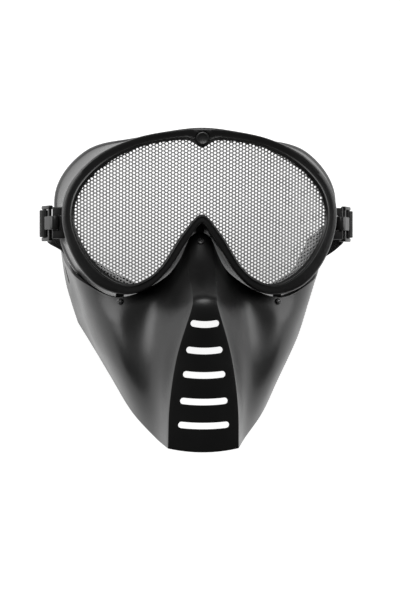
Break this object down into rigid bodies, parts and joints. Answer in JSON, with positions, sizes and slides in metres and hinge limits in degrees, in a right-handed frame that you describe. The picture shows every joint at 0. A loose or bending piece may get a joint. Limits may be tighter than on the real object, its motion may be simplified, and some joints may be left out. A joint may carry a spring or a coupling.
{
  "type": "full-face protective mask with a mesh goggle",
  "caption": "Black full-face mask: a curved mesh goggle in an oval frame, a moulded vented face guard under it and an elastic head strap on two side buckles.",
  "frame": {"origin": "middle of the footprint, on the plane that the ear edges rest on with the mask lying face up", "axes": "+X to the right in the front view, +Y towards the forehead, +Z out of the front of the mask"},
  "size_m": [0.2004, 0.1986, 0.1494],
  "materials": {
    "frame_moulding": "satin black moulding with a fine grain",
    "steel_mesh": "grey perforated steel sheet",
    "soft_skirt": "satin black soft moulding",
    "guard_moulding": "satin black moulding",
    "screw": "black fastener head",
    "buckle_moulding": "satin black buckle moulding",
    "webbing": "black woven elastic webbing"
  },
  "bodies": {
    "root": {"goggle_rim": "frame_moulding", "rim_button": "frame_moulding", "mesh_lens": "steel_mesh", "goggle_skirt": "soft_skirt", "face_guard": "guard_moulding", "nose_screw": "screw", "cheek_screw_left": "screw", "cheek_screw_right": "screw", "strap_clip_left": "buckle_moulding", "strap_slider_left": "buckle_moulding", "strap_clip_right": "buckle_moulding", "strap_slider_right": "buckle_moulding", "strap": "webbing"}
  },
  "joints": []
}
